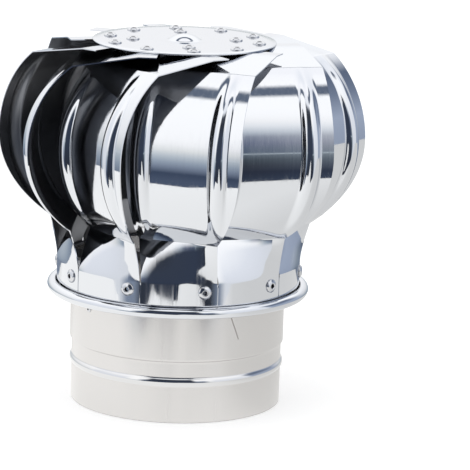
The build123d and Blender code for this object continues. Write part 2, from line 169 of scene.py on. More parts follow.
# Sintered bronze is brown, dull and grainy.
bush_bronze = metal("sintered_bronze", "#a2733f", 0.48, (0.3, 0.10, 0.10), ALL_WAYS)
finish_of_slot = {
    "polished_sheet": mirror_stainless,
    "collar_sheet": collar_stainless,
    "rivet_steel": rivet_stainless,
    "strap_steel": strap_steel,
    "turned_steel": turned_steel,
    "bearing_steel": bearing_steel,
    "cage_brass": cage_brass,
    "bush_bronze": bush_bronze,
}
for part in frame["record"]["subparts"]:
    node = frame["nodes"][part["node"]]
    node.data.materials.clear()
    node.data.materials.append(finish_of_slot[part["material_slot"]])

# %% [markdown]
# ## One vane
# On the real vent a vane is one strip of sheet, pressed in a die. From the top it has a flat under the
# plate, a sloping flat, a fold, a face that bends through two arcs, a second fold and a foot that
# twists from that straight fold to the round ring. It could be modelled by hand and smoothed, but its
# beads and edges would drift from their sizes. Here the strip is a grid that is worked out point by
# point: its rows run across, its columns run down and bunch up where the two pressed beads are steep,
# and each bead lifts the points near its centre line.

# %% Sizes of the vane, in millimetres
# REACH is how far the face is from the axis where it is widest, and the SWEEPs are the turns of its two
# arcs. The EDGEs are how far its free edge lies to the side, from the foot up to the plate.
SHEET = 0.5
REACH, INNER_EDGE = 69.5, -1.0
LOWER_R, LOWER_SWEEP = 54.2, radians(49.6)
UPPER_R, UPPER_SWEEP = 52.2, radians(52.0)
LOWER_LONG, UPPER_LONG = LOWER_R * LOWER_SWEEP, UPPER_R * UPPER_SWEEP
EDGE_FOOT, EDGE_WIDEST, EDGE_SHOULDER, EDGE_PLATE = 38.7, 55.6, 54.6, 54.0
FOLD_Z, TWIST_Z, FOOT_Z = 89.2, 70.0, 59.5
WIDEST_Z = FOLD_Z + LOWER_R * sin(LOWER_SWEEP)
SHOULDER_Z = WIDEST_Z + UPPER_R * sin(UPPER_SWEEP)
SHOULDER_REACH = REACH - UPPER_R + UPPER_R * cos(UPPER_SWEEP)
SEAT_RISE, SEAT_IN, SEAT_OUT = 5.2, 10.0, 18.5
SEAT_Z = SHOULDER_Z + SEAT_RISE
TOP_CUT_R = 31.5
FOOT_OUT, FOOT_START, FOOT_EDGE = 59.5, radians(3.9), radians(39.3)
print("vane: widest at", round(WIDEST_Z, 1), "shoulder at", round(SHOULDER_Z, 1))

# %% Free edge and beads
# A bead is its place across, its lean below and above the widest height, and its gaps to both folds.
OUTER_BEAD = (44.6, 7.0, 0.5, 4.5, 4.0)
INNER_BEAD = (6.0, 4.0, 0.0, 6.0, 10.0)
BEAD_HALF, BEAD_H, BEAD_FILLET = 4.5, 3.2, 0.8
BEAD_R = (BEAD_HALF ** 2 + BEAD_H ** 2) / (2 * BEAD_H)


def edge_at(z):
    """Free edge of the face at a height: two arcs that meet upright at the widest height."""
    if z >= WIDEST_Z:
        rise, side = SHOULDER_Z - WIDEST_Z, EDGE_WIDEST - EDGE_SHOULDER
    else:
        rise, side = WIDEST_Z - FOLD_Z, EDGE_WIDEST - EDGE_FOOT
    arc = (rise ** 2 + side ** 2) / (2 * side)
    return EDGE_WIDEST - arc + sqrt(max(arc ** 2 - (z - WIDEST_Z) ** 2, 0.0))


def bead_at(bead, s):
    """Place across and height of a bead's crest, at a length up the face from the widest height."""
    place, lower_lean, upper_lean, lower_gap, upper_gap = bead
    full, lean, gap = (UPPER_LONG, upper_lean, upper_gap) if s > 0 else (LOWER_LONG, lower_lean, lower_gap)
    return place - lean * (s / full) ** 2, BEAD_H * (1 - (s / (full - gap)) ** 2)


def bead_lift(s, t):
    """Height of the beads above the face at a place on it, with a fillet along their sides."""
    lift = 0.0
    for bead in (OUTER_BEAD, INNER_BEAD):
        place, high = bead_at(bead, s)
        away = min(abs(t - place), BEAD_R)
        crest = sqrt(BEAD_R ** 2 - away ** 2) - BEAD_R + high
        lift += 0.5 * (crest + sqrt(crest ** 2 + BEAD_FILLET ** 2))
    return lift


print("bead: radius", round(BEAD_R, 2), "lift at the widest height", round(bead_lift(0.0, OUTER_BEAD[0]), 2))

# %% Columns of a row
BEAD_COLUMNS, EDGE_COLUMNS, MID_COLUMNS = 20, 4, 6
BEAD_MARGIN = 0.7
# Shares of a row's width: what stays free at its ends and between stops, and stops where beads don't fit.
FREE_LEFT, FREE_RIGHT, FREE_BETWEEN = 0.03, 0.02, 0.04
NARROW_STOPS = (0.05, 0.25, 0.72, 0.92)


def spread(start, end, steps):
    """Even places from start up to, and without, end."""
    return [start + (end - start) * i / steps for i in range(steps)]


def across(left, right, s):
    """Columns of a row: bunched where the sides of the beads are steep."""
    room, half = right - left, BEAD_HALF + BEAD_MARGIN
    middles = [bead_at(bead, s)[0] for bead in (INNER_BEAD, OUTER_BEAD)]
    stops = [middle + side for middle in middles for side in (-half, half)]
    stops = [min(max(v, left + FREE_LEFT * room), right - FREE_RIGHT * room) for v in stops]
    if min(b - a for a, b in zip(stops, stops[1:])) < FREE_BETWEEN * room:
        stops = [left + room * f for f in NARROW_STOPS]
    columns = spread(left, stops[0], EDGE_COLUMNS)
    for a, b, gap_end, gap_columns in (
            (stops[0], stops[1], stops[2], MID_COLUMNS), (stops[2], stops[3], right, EDGE_COLUMNS)):
        columns += [(a + b) / 2 - (b - a) / 2 * cos(pi * i / BEAD_COLUMNS) for i in range(BEAD_COLUMNS)]
        columns += spread(b, gap_end, gap_columns)
    return columns + [right]


print("columns:", len(across(INNER_EDGE, EDGE_WIDEST, 0.0)))

# %% Rows of the strip
SEAT_ROWS, SLOPE_ROWS, FACE_ROWS, FOLD_STEP = 4, 9, 46, 0.45
TWIST_SHARES = (0.03, 0.1, 0.2, 0.32, 0.45, 0.58, 0.7, 0.8, 0.88, 0.94, 0.98, 1.0)
FOOT_DROPS, FOOT_EASE = (0.5, 2, 5, 8), 1.4


def top_rows():
    """The flat under the plate and the sloping flat, from the middle outwards."""
    run, fall = SHOULDER_REACH - SEAT_OUT, SHOULDER_Z - SEAT_Z
    slope_end = 1 - FOLD_STEP / hypot(run, fall)
    places = [(d, SEAT_Z) for d in spread(SEAT_IN, SEAT_OUT, SEAT_ROWS)]
    for f in (*spread(0.0, slope_end, SLOPE_ROWS), slope_end):
        places.append((SEAT_OUT + run * f, SEAT_Z + fall * f))
    made = []
    for d, z in places:
        left = max(INNER_EDGE, sqrt(max(TOP_CUT_R ** 2 - d ** 2, 0.0)))
        right = EDGE_PLATE + (EDGE_SHOULDER - EDGE_PLATE) * min(max((d - SEAT_OUT) / run, 0.0), 1.0)
        beyond = UPPER_LONG + hypot(SHOULDER_REACH - d, z - SHOULDER_Z)
        columns = across(left, right, UPPER_LONG)
        made.append([(d, t, z + bead_lift(beyond, t) if d > SEAT_OUT else z) for t in columns])
    return made


def face_rows():
    """The bent face from its upper to its lower fold, with one row close to each fold."""
    low, high = -LOWER_LONG, UPPER_LONG
    made = []
    for s in (high, *np.linspace(high - FOLD_STEP, low + FOLD_STEP, FACE_ROWS), low):
        radius = UPPER_R if s >= 0 else LOWER_R
        turn = s / radius
        d, z = REACH - radius + radius * cos(turn), WIDEST_Z + radius * sin(turn)
        lifts = [(t, bead_lift(s, t)) for t in across(INNER_EDGE, edge_at(z), s)]
        made.append([(d + lift * cos(turn), t, z + lift * sin(turn)) for t, lift in lifts])
    return made


def foot_rows(fold):
    """The foot below the lower fold: it eases into the round of the ring and then hangs straight."""
    made = []
    for v in TWIST_SHARES:
        ease = 1 - (1 - v) ** FOOT_EASE
        row = []
        for x, y, z in fold:
            share = (y - INNER_EDGE) / (EDGE_FOOT - INNER_EDGE)
            turn = FOOT_START + (FOOT_EDGE - FOOT_START) * share
            end_x, end_y = FOOT_OUT * cos(turn), FOOT_OUT * sin(turn)
            row.append((x + (end_x - x) * ease, y + (end_y - y) * ease, z + (TWIST_Z - z) * v))
        made.append(row)
    for z in (*[TWIST_Z - drop for drop in FOOT_DROPS], FOOT_Z):
        made.append([(x, y, z) for x, y, _ in made[-1]])
    return made


rows = top_rows() + face_rows()
rows = np.array(rows + foot_rows(rows[-1]))
print("strip:", rows.shape[0], "rows of", rows.shape[1])

# %% [markdown]
# ## Thickness
# Real sheet has two sides and an edge, and the edge shows as a bright line. A Solidify modifier could
# add both. Here the second side is made from the grid itself, moved back along its normals, and a rim
# joins the two, so that it is known which faces are inside. An attribute marks them, because only the
# outer side is polished, and the inner side's darker grey is partly painted shade.


# %% Mesh from points
MERGE_WITHIN = 1e-7


def mesh_object(name, points, faces):
    """Smooth mesh from points in millimetres, at the origin."""
    mesh = bpy.data.meshes.new(name)
    mesh.from_pydata([tuple(c * MM for c in p) for p in points], [], faces)
    made = bpy.data.objects.new(name, mesh)
    bpy.context.scene.collection.objects.link(made)
    work = bmesh.new()
    work.from_mesh(mesh)
    bmesh.ops.remove_doubles(work, verts=work.verts, dist=MERGE_WITHIN)
    bmesh.ops.recalc_face_normals(work, faces=work.faces)
    work.to_mesh(mesh)
    work.free()
    mesh.shade_smooth()
    print("mesh:", name, len(mesh.polygons), "faces")
    return made


# %% Sheet with two sides
# An edge is sharp where the cosine between its two faces is less than this.
FOLD_SHARP = 0.6


def mark_sharp(mesh):
    """Keeps the folds and the rim of a smooth sheet crisp."""
    sharp = mesh.attributes.new("sharp_edge", "BOOLEAN", "EDGE")
    edge_faces = {}
    for face in mesh.polygons:
        for key in face.edge_keys:
            edge_faces.setdefault(key, []).append(face.normal)
    for edge in mesh.edges:
        found = edge_faces[tuple(sorted(edge.vertices))]
        sharp.data[edge.index].value = len(found) == 2 and found[0].dot(found[1]) < FOLD_SHARP


def sheet_object(name, grid, thickness):
    """Closed sheet from a grid of points on its outer face. Its inner side is marked."""
    normal = np.cross(np.gradient(grid, axis=1), np.gradient(grid, axis=0))
    normal /= np.linalg.norm(normal, axis=2, keepdims=True)
    if normal[:, :, 0].mean() < 0:
        normal = -normal
    back = grid - thickness * normal
    n, m = grid.shape[:2]
    points = [tuple(p) for side in (grid, back) for p in side.reshape(-1, 3)]
    faces = []
    for i in range(n - 1):
        for k in range(m - 1):
            a, b, c, d = i * m + k, i * m + k + 1, (i + 1) * m + k + 1, (i + 1) * m + k
            faces += [(a, b, c, d), tuple(v + n * m for v in (d, c, b, a))]
    sides = len(faces)
    rim = [i * m for i in range(n)] + [(n - 1) * m + k for k in range(1, m)]
    rim += [i * m + m - 1 for i in range(n - 2, -1, -1)] + [k for k in range(m - 2, 0, -1)]
    for p, q in zip(rim, rim[1:] + rim[:1]):
        faces.append((p, q, q + n * m, p + n * m))
    made = mesh_object(name, points, faces)
    inside = made.data.attributes.new("inside", "BOOLEAN", "FACE")
    inside.data.foreach_set("value", [i < sides and i % 2 == 1 for i in range(len(made.data.polygons))])
    mark_sharp(made.data)
    return made


one_vane = sheet_object("one_vane", rows, SHEET)

# %% [markdown]
# ## Copies round the axis
# The ten vanes are equal, and so are the rivets of each ring. They could be copied in a loop, but a
# Geometry Nodes tree says the rule once: it makes a point for each copy, turns each copy by its share
# of the circle, makes the copies real and gives them their finish. Faces marked as inside get a second
# finish: on a vane the bare inner side, whose dark grey is partly painted shade, and in a rivet's bore a
# dark painted shade.

# %% Tree that copies round the axis
round_axis = bpy.data.node_groups.new("copies_round_the_axis", "GeometryNodeTree")
asked_for = {}
for title, kind in (("Geometry", "Geometry"), ("Copies", "Int"), ("Heading", "Float"),
                    ("Finish", "Material"), ("Inside finish and shade", "Material")):
    socket = round_axis.interface.new_socket(title, in_out="INPUT", socket_type="NodeSocket" + kind)
    asked_for[title] = socket.identifier
round_axis.interface.new_socket("Geometry", in_out="OUTPUT", socket_type="NodeSocketGeometry")
asked = put(round_axis, "NodeGroupInput").outputs
spots = put(round_axis, "GeometryNodePoints", {"Count": asked["Copies"]})
number = put(round_axis, "GeometryNodeInputIndex")
share = put(round_axis, "ShaderNodeMath", {0: number.outputs[0], 1: asked["Copies"]}, operation="DIVIDE")
turn = put(round_axis, "ShaderNodeMath", {
    0: share.outputs[0], 1: 2 * pi, 2: asked["Heading"]}, operation="MULTIPLY_ADD")
angles = put(round_axis, "ShaderNodeCombineXYZ", {"Z": turn.outputs[0]})
turned = put(round_axis, "FunctionNodeEulerToRotation", {"Euler": angles.outputs[0]})
placed = put(round_axis, "GeometryNodeInstanceOnPoints", {
    "Points": spots.outputs[0], "Instance": asked["Geometry"], "Rotation": turned.outputs[0]})
real = put(round_axis, "GeometryNodeRealizeInstances", {"Geometry": placed.outputs[0]})
coated = put(round_axis, "GeometryNodeSetMaterial", {
    "Geometry": real.outputs[0], "Material": asked["Finish"]})
inner = put(round_axis, "GeometryNodeInputNamedAttribute", {"Name": "inside"}, data_type="BOOLEAN")
inside_set = put(round_axis, "GeometryNodeSetMaterial", {
    "Geometry": coated.outputs[0], "Selection": inner.outputs["Attribute"], "Material": asked["Inside finish and shade"]})
put(round_axis, "NodeGroupOutput", {0: inside_set.outputs[0]})
print("tree inputs:", list(asked_for))

# %% Ten vanes
VANES, HEADING = 10, radians(249.0)


def copies_round(source, name, count, heading, finish, inside_finish_and_shade):
    """Plain mesh of copies of an object about the axis. The source object is used up."""
    step = source.modifiers.new("Round the axis", "NODES")
    step.node_group = round_axis
    for title, value in (("Copies", count), ("Heading", heading), ("Finish", finish), ("Inside finish and shade", inside_finish_and_shade)):
        step[asked_for[title]] = value
    ready = source.evaluated_get(bpy.context.evaluated_depsgraph_get())
    mesh = bpy.data.meshes.new_from_object(ready)
    mesh.name = name
    made = bpy.data.objects.new(name, mesh)
    bpy.context.scene.collection.objects.link(made)
    bpy.data.objects.remove(source)
    print(name, len(mesh.polygons), "faces")
    return made


def fit(piece, body, slot, *nodes):
    """The piece moves with a body and stands for its CAD nodes."""
    if not piece.data.materials:
        piece.data.materials.append(finish_of_slot[slot])
    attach(piece, body)
    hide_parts(*nodes)


vanes = copies_round(one_vane, "polished_vanes", VANES, HEADING, mirror_stainless, unpolished_side_and_shade)
fit(vanes, "rotor", "polished_sheet", *[f"vane_{i + 1:02d}" for i in range(VANES)])

# %% [markdown]
# ## Collar
# The collar is a rolled tube that sits on the duct: a spigot, a bead that stops the duct, and a wider
# upper part with a slanting lap seam. A cylinder with edge loops could be shaped by hand, but a profile
# turned about the axis keeps its sizes. Rolled sheet is never quite round, so the wall wanders in and
# out by a few hundredths of a millimetre, which bends its reflections into soft upright bands. The
# mesh's columns lean with the seam, because a step that cuts across faces would look like teeth.


# %% A turned profile
def lathe(name, profile, segments, wobble=None, lean=None):
    """Turns a closed profile of (radius, height). A wobble moves points out, a lean moves them round."""
    n = len(profile)
    points = []
    faces = []
    for i in range(segments):
        for k, (r, z) in enumerate(profile):
            turn = 2 * pi * i / segments + (lean(z) if lean else 0.0)
            out = r + (wobble(turn, z) if wobble else 0.0)
            points.append((out * cos(turn), out * sin(turn), z))
            after, beside = (k + 1) % n, (i + 1) % segments
            if r or profile[after][0]:
                faces.append((i * n + k, i * n + after, beside * n + after, beside * n + k))
    return mesh_object(name, points, faces)


# %% Wall of the collar
SPIGOT_R, SPIGOT_H, COLLAR_R, COLLAR_H = 51.5, 17.7, 52.5, 60.0
STOP_H, STOP_OUT, STOP_FULL, STOP_STEPS = 4.3, 1.0, 0.8, 12
NECK_TOP, STEP_TOP, STEP_STEPS = 29.3, 30.9, 6
SPIGOT_ROWS = (0.0, 0.3, 2, 6, 10, 14, SPIGOT_H - 0.5)
NECK_ROWS = (SPIGOT_H + STOP_H + 0.5, 24, 27, NECK_TOP - 0.6)
UPPER_ROWS = (STEP_TOP + 0.6, 33, 35, 37, 40, 43, 46, 49, 52, 55, 58, COLLAR_H - 0.3, COLLAR_H)


def collar_side(offset):
    """One side of the collar's wall, from the bottom up."""
    spigot = SPIGOT_R - offset
    wall = [(spigot, z) for z in SPIGOT_ROWS]
    for f in [i / STOP_STEPS for i in range(STOP_STEPS + 1)]:
        wall.append((spigot + STOP_OUT * sin(pi * f) ** STOP_FULL, SPIGOT_H + STOP_H * f))
    wall += [(spigot, z) for z in NECK_ROWS]
    for f in [i / STEP_STEPS for i in range(STEP_STEPS + 1)]:
        wider = (COLLAR_R - SPIGOT_R) * (1 - cos(pi * f)) / 2
        wall.append((spigot + wider, NECK_TOP + (STEP_TOP - NECK_TOP) * f))
    return wall + [(COLLAR_R - offset, z) for z in UPPER_ROWS]


collar_profile = collar_side(0) + collar_side(SHEET)[::-1]
print("collar profile:", len(collar_profile), "points")

# %% Lap seam and swells of the wall
SEAM_TURN, SEAM_LEAN, SEAM_Z, SEAM_LOW = radians(-63.0), radians(0.45), 56.0, 40.0
SEAM_WIDE, SEAM_OUT, SEAM_FADE, SEAM_RUN_OUT = radians(0.9), 0.3, radians(9), 6
# A swell is its height, its waves in a turn and where the first one starts.
LONG_SWELL, SHORT_SWELL = (0.02, 3, 0.8), (0.015, 7, 2.1)
SWELL_START, SWELL_TWIST, WALL_BACK = 20, 40, 0.05


def seam_lean(z):
    """The lap seam leans as it runs down, and the columns of the mesh lean with it."""
    return SEAM_LEAN * (SEAM_Z - max(z, SEAM_LOW))


def past_seam(turn, z):
    """Angle past the lap seam at a height."""
    return (turn - SEAM_TURN - seam_lean(z) + pi) % (2 * pi) - pi


def collar_wobble(turn, z):
    """Small hollows and swells of rolled sheet, and the lap seam of the upper part."""
    high, waves, start = LONG_SWELL
    swell = high * sin(waves * turn + start)
    high, waves, start = SHORT_SWELL
    swell += high * sin(waves * turn + start + z / SWELL_TWIST)
    out = -WALL_BACK + min(z / SWELL_START, 1.0) * swell
    if z > SEAM_LOW:
        past = past_seam(turn, z)
        rise = min(max(past / SEAM_WIDE, 0.0), 1.0)
        run_out = min((z - SEAM_LOW) / SEAM_RUN_OUT, 1.0)
        out += SEAM_OUT * rise * exp(-max(past, 0.0) / SEAM_FADE) * run_out
    return out


print("wall at the seam:", round(collar_wobble(SEAM_TURN + SEAM_WIDE, SEAM_Z), 2), "mm out")

# %% Collar
COLLAR_SEGMENTS = 480
LAP_SHADOW_SLOT, BEAD_FINISH = 1, 2
collar = lathe("rolled_collar", collar_profile, COLLAR_SEGMENTS, collar_wobble, seam_lean)
for finish in (collar_stainless, lap_edge_painted_shadow, burnished_bead):
    collar.data.materials.append(finish)
# Faces along the lap's edge take the painted shadow of the lap, and the stop bead its burnished finish.
for face in collar.data.polygons:
    x, y, z = face.center / MM
    in_lap_shadow = 0 <= past_seam(atan2(y, x), z) < 2 * pi / COLLAR_SEGMENTS
    if in_lap_shadow and z > SEAM_LOW and hypot(x, y) > COLLAR_R - SHEET / 2:
        face.material_index = LAP_SHADOW_SLOT
    elif SPIGOT_H < z < SPIGOT_H + STOP_H:
        face.material_index = BEAD_FINISH
fit(collar, "base", "collar_sheet", "base_collar")

# %% [markdown]
# ## Ring and plate
# The ring at the foot of the cage has its lower edge rolled outwards into a hollow rim, which stiffens
# it. The plate on top is a disc with a small pressed boss. Both are the same all round, so they are
# turned profiles too. Soft run-outs, where the boss meets the flat, give the polish a place to shine.

# %% Ring with its rolled rim
RING_IN, RING_OUT, RING_Z, RING_TOP, RING_SEGMENTS = 58.5, 59.0, 53.5, 69.5, 192
RING_ROWS = (60, 64, 68, RING_TOP)
CURL_R, CURL_SWEEP, CURL_STEPS = 2.75, radians(300), 26


def curl(radius):
    """Points of the rolled rim at a radius from its middle, from the wall round to its free end."""
    turns = [pi + CURL_SWEEP * i / CURL_STEPS for i in range(CURL_STEPS + 1)]
    return [(RING_IN + CURL_R + radius * cos(a), RING_Z + CURL_R + radius * sin(a)) for a in turns]


ring_profile = curl(CURL_R - SHEET)[::-1] + [(RING_OUT, z) for z in RING_ROWS]
ring_profile += [(RING_IN, z) for z in RING_ROWS[::-1]] + curl(CURL_R)
ring = lathe("rolled_rim_ring", ring_profile, RING_SEGMENTS)
fit(ring, "rotor", "polished_sheet", "bottom_ring")

# %% Top plate with its boss
PLATE, PLATE_R, PLATE_EASE, PLATE_SEGMENTS = 0.8, 44.5, 0.25, 128
PLATE_TOP = SEAT_Z + PLATE
BOSS_R, BOSS_H, BOSS_FILLET, BOSS_SINK = 8.0, 3.0, 0.3, 0.06
DOME_R = (BOSS_R ** 2 + BOSS_H ** 2) / (2 * BOSS_H)
DOME_ROWS, FLAT_ROWS = (9, 8.4, 8, 7.6, 7, 6, 5, 4, 3, 2, 1, 0), (10, 16, 24, 32, 40)
HOLLOW_ROWS = range(10)


def dome(radius, drop):
    """Height of the boss at a radius, with a small run-out where it meets the flat."""
    rise = sqrt(max(DOME_R ** 2 - radius ** 2, 0.0)) - (DOME_R - BOSS_H)
    return PLATE_TOP - drop + 0.5 * (rise + sqrt(rise ** 2 + BOSS_FILLET ** 2)) - BOSS_SINK


plate_profile = [(r, dome(r, PLATE)) for r in HOLLOW_ROWS]
plate_profile += [(r, SEAT_Z) for r in (*FLAT_ROWS, PLATE_R - PLATE_EASE)]
plate_profile += [(PLATE_R, SEAT_Z + PLATE_EASE), (PLATE_R, PLATE_TOP - PLATE_EASE)]
plate_profile += [(r, PLATE_TOP) for r in (PLATE_R - PLATE_EASE, *FLAT_ROWS[::-1])]
plate_profile += [(r, dome(r, 0)) for r in DOME_ROWS]
plate = lathe("top_plate_with_boss", plate_profile, PLATE_SEGMENTS)
fit(plate, "rotor", "polished_sheet", "top_plate")

# %% [markdown]
# ## Rivets
# Blind rivets have a low domed flange with a rim and a hole where the pulled pin broke off; the hole is
# painted dark as painted shade. Each could be a node of its own, but all in a ring are equal. So one
# rivet is turned on its own axis, laid on the plate or against a foot, and copied by the same tree as
# the vanes.

# %% One rivet
SHANK_R, HEAD_R, HEAD_H, TAIL = 1.6, 3.25, 1.3, 1.3
HOLE_R, HOLE_LIP, LIP_DROP, HOLE_DEEP = 1.1, 0.35, 0.12, 0.5
RIM_SHARE, DOME_SHARES = 0.3, (0.0, 0.15, 0.35, 0.6, 0.85, 1.0)
SEAT_HOLLOW, BORE_SLACK, RIVET_SEGMENTS = 0.02, 0.01, 32


def one_rivet(grip, scale):
    """Blind rivet, its seat at 0 and its tail below. The faces of its hole are marked."""
    shank, hole, tail = SHANK_R * scale, HOLE_R * scale, -grip - TAIL
    profile = [(0, tail), (shank, tail), (shank, -SEAT_HOLLOW), (HEAD_R * scale, 0.0)]
    for f in DOME_SHARES:
        r = HEAD_R + (HOLE_R + HOLE_LIP - HEAD_R) * f
        profile.append((r * scale, HEAD_H * scale * (RIM_SHARE + (1 - RIM_SHARE) * sin(pi / 2 * f))))
    bottom = -HOLE_DEEP * HEAD_H * scale
    profile += [(hole, (HEAD_H - LIP_DROP) * scale), (hole, bottom), (0, bottom)]
    made = lathe("rivet", profile, RIVET_SEGMENTS)
    # The faces of the hole are marked for the bore's painted shade.
    bore = made.data.attributes.new("inside", "BOOLEAN", "FACE")
    for face in made.data.polygons:
        corners = [made.data.vertices[i].co / MM for i in face.vertices]
        narrow = all(hypot(p.x, p.y) < hole + BORE_SLACK for p in corners)
        bore.data[face.index].value = narrow and all(p.z > tail / 2 for p in corners)
    return made


def lay(piece, place):
    """Puts a piece where a matrix in millimetres says, in its mesh."""
    place = place.copy()
    place.translation *= MM
    piece.data.transform(place)
    return piece


# %% Rings of rivets
FOOT_RIVET_UP, FOOT_RIVET_IN = 6.4, 6.1
FOOT_RIVET_Z, FOOT_RIVET_TURN = FOOT_Z + FOOT_RIVET_UP, FOOT_EDGE - FOOT_RIVET_IN / FOOT_OUT
PLATE_RIVET = (16, 33, PLATE_TOP)
HOUSING, HOUSING_RIVET, HOUSING_RIVETS, HOUSING_TURN = 1.0, (25, 0, PLATE_TOP), 4, radians(5)
BRIDGE_GRIP, BRIDGE_SCALE, BRIDGE_Z, BRIDGE_RIVETS, BRIDGE_TURN = 2.02, 0.5, 50.0, 2, radians(216)
FULL_SIZE = 1.0
upwards, outwards = Matrix.Identity(4), Matrix.Rotation(pi / 2, 4, "Y")
rivet_rings = (
    ("foot_rivets", 2 * SHEET, FULL_SIZE, (FOOT_OUT, 0, FOOT_RIVET_Z), outwards,
     VANES, HEADING + FOOT_RIVET_TURN, "rotor", "bottom_rivets"),
    ("plate_rivets", PLATE + SHEET, FULL_SIZE, PLATE_RIVET, upwards,
     VANES, HEADING, "rotor", "top_rivets"),
    ("bearing_housing_rivets", PLATE + HOUSING, FULL_SIZE, HOUSING_RIVET, upwards,
     HOUSING_RIVETS, HOUSING_TURN, "rotor", "housing_rivets"),
    ("bridge_rivet_heads", BRIDGE_GRIP, BRIDGE_SCALE, (COLLAR_R, 0, BRIDGE_Z), outwards,
     BRIDGE_RIVETS, BRIDGE_TURN, "base", "bridge_rivets"))
for name, grip, scale, spot, facing, count, heading, body, node in rivet_rings:
    rivet = lay(one_rivet(grip, scale), Matrix.Translation(spot) @ facing)
    rivets = copies_round(rivet, name, count, heading, rivet_stainless, bore_painted_shade)
    fit(rivets, body, "rivet_steel", node)

# %% [markdown]
# ## Camera
# The photo looks slightly down through a long lens, and leans by a degree and a half. The camera could
# be moved by eye until the picture fits. It is worked out instead: the view's angles, its distance and
# the place in the frame where a point on the axis falls.

# %% Camera
LOOK_DOWN, LEAN, DISTANCE, TARGET_Z = radians(12.0), radians(1.611), 1576.0, 88.0
FOCAL_PX, FRAME_PX, TARGET_PX = 3223.0, 470, (179.6, 221.0)
SENSOR_MM, CLIP_NEAR, CLIP_FAR = 36.0, 0.05, 100.0
target = Vector((0, 0, TARGET_Z))
back = Vector((0, -cos(LOOK_DOWN), sin(LOOK_DOWN)))
right, up = Vector((1, 0, 0)), Vector((0, sin(LOOK_DOWN), cos(LOOK_DOWN)))
image_right = right * cos(LEAN) + up * sin(LEAN)
image_up = -right * sin(LEAN) + up * cos(LEAN)
aside = (FRAME_PX / 2 - TARGET_PX[0]) / FOCAL_PX * DISTANCE
above = (TARGET_PX[1] - FRAME_PX / 2) / FOCAL_PX * DISTANCE
aim = target + image_right * aside + image_up * above
eye = target + back * DISTANCE
ahead = (aim - eye).normalized()
side = ahead.cross(image_up).normalized()
top = side.cross(ahead)
camera_data = bpy.data.cameras.new("camera")
camera_data.sensor_width = SENSOR_MM
camera_data.lens = SENSOR_MM * FOCAL_PX / FRAME_PX
camera_data.clip_start, camera_data.clip_end = CLIP_NEAR, CLIP_FAR
camera = bpy.data.objects.new("camera", camera_data)
camera.matrix_world = Matrix((
    (side.x, top.x, -ahead.x, eye.x * MM), (side.y, top.y, -ahead.y, eye.y * MM),
    (side.z, top.z, -ahead.z, eye.z * MM), (0, 0, 0, 1)))
bpy.context.scene.collection.objects.link(camera)
bpy.context.scene.camera = camera
print("lens", round(camera_data.lens, 1), "mm")

# %% [markdown]
# ## Room
# Polished steel has no look of its own, it shows the room, so the room is what paints the vanes. Lamps
# and cards could stand round the vent, but each vane mirrors a different part of the room, and a globe
# of light with a colour for each height and bearing is easier to steer. Straight ahead it is dark up
# to a white ceiling. To the left and right are windows and pale walls, with a dark beam along the
# ceiling, and past them on the right is a grey corner. Only reflections see the globe.


# %% Pieces of the stage
def stage_object(name, work):
    """Stage piece from a bmesh, in metres."""
    mesh = bpy.data.meshes.new(name)
    work.to_mesh(mesh)
    work.free()
    made = bpy.data.objects.new(name, mesh)
    bpy.context.scene.collection.objects.link(made)
    print("stage:", name)
    return made


def only_mirrored(thing):
    """Hides a stage piece from all but reflections."""
    for seen_by in ("visible_camera", "visible_diffuse", "visible_shadow", "visible_transmission"):
        setattr(thing, seen_by, False)


ROOM_R, ROOM_SEGMENTS, ROOM_RINGS = 6.0, 64, 32
work = bmesh.new()
bmesh.ops.create_uvsphere(work, u_segments=ROOM_SEGMENTS, v_segments=ROOM_RINGS, radius=ROOM_R)
room = stage_object("room", work)
only_mirrored(room)

# %% Colours of the room
# Each list gives colours by degrees above the horizon. The beam is left out of the middle and the corner.
ZENITH = (90, "#e2e6ec")
CEILING = [(54, "#ffffff"), (57, "#5d6778"), (63, "#5d6778"), (66, "#ffffff"), (76, "#f8f8fa"), ZENITH]
FRONT = [
    (-90, "#2a2f3a"), (-34, "#383c46"), (-26, "#212835"), (-20, "#262a36"), (-13, "#2d3139"),
    (-7, "#3d454d"), (-2, "#5a646e"), (-1.5, "#a3adb4"), (-1, "#a3adb4"), (-0.5, "#545f6f"),
    (4, "#566173"), (10, "#60687e"), (16, "#737c8d"), (21, "#adb6c0"), (27, "#d9dde1"),
    (32, "#eeeeee"), (37, "#f8f8f8"), *CEILING]
WINDOWS = [
    (-90, "#4a5566"), (-26, "#465165"), (-19, "#3a4559"), (-13, "#747f91"), (-8, "#929eac"),
    (-2, "#b8c0c7"), (4, "#e0e2e1"), (10, "#f5f5f5"), (15, "#fafafa"), *CEILING]
RIGHT_CORNER = [
    (-90, "#8d96a6"), (-10, "#8e98aa"), (10, "#9aa4b6"), (24, "#6f7a8e"), (34, "#5a6579"),
    (40, "#e6e9ee"), (76, "#f8f8fa"), ZENITH]
DARK_MIDDLE = [
    (-90, "#2a2e37"), (-20, "#2c313c"), (0, "#323a4a"), (24, "#343b49"), (40, "#2f333b"),
    (48, "#434852"), (54, "#e4e7ec"), (72, "#f8f8fa"), ZENITH]
PALE_SIDES = [
    (-90, "#c9ccd0"), (-12, "#d3d6da"), (4, "#d9dce2"), (20, "#dfe2e8"), *CEILING]

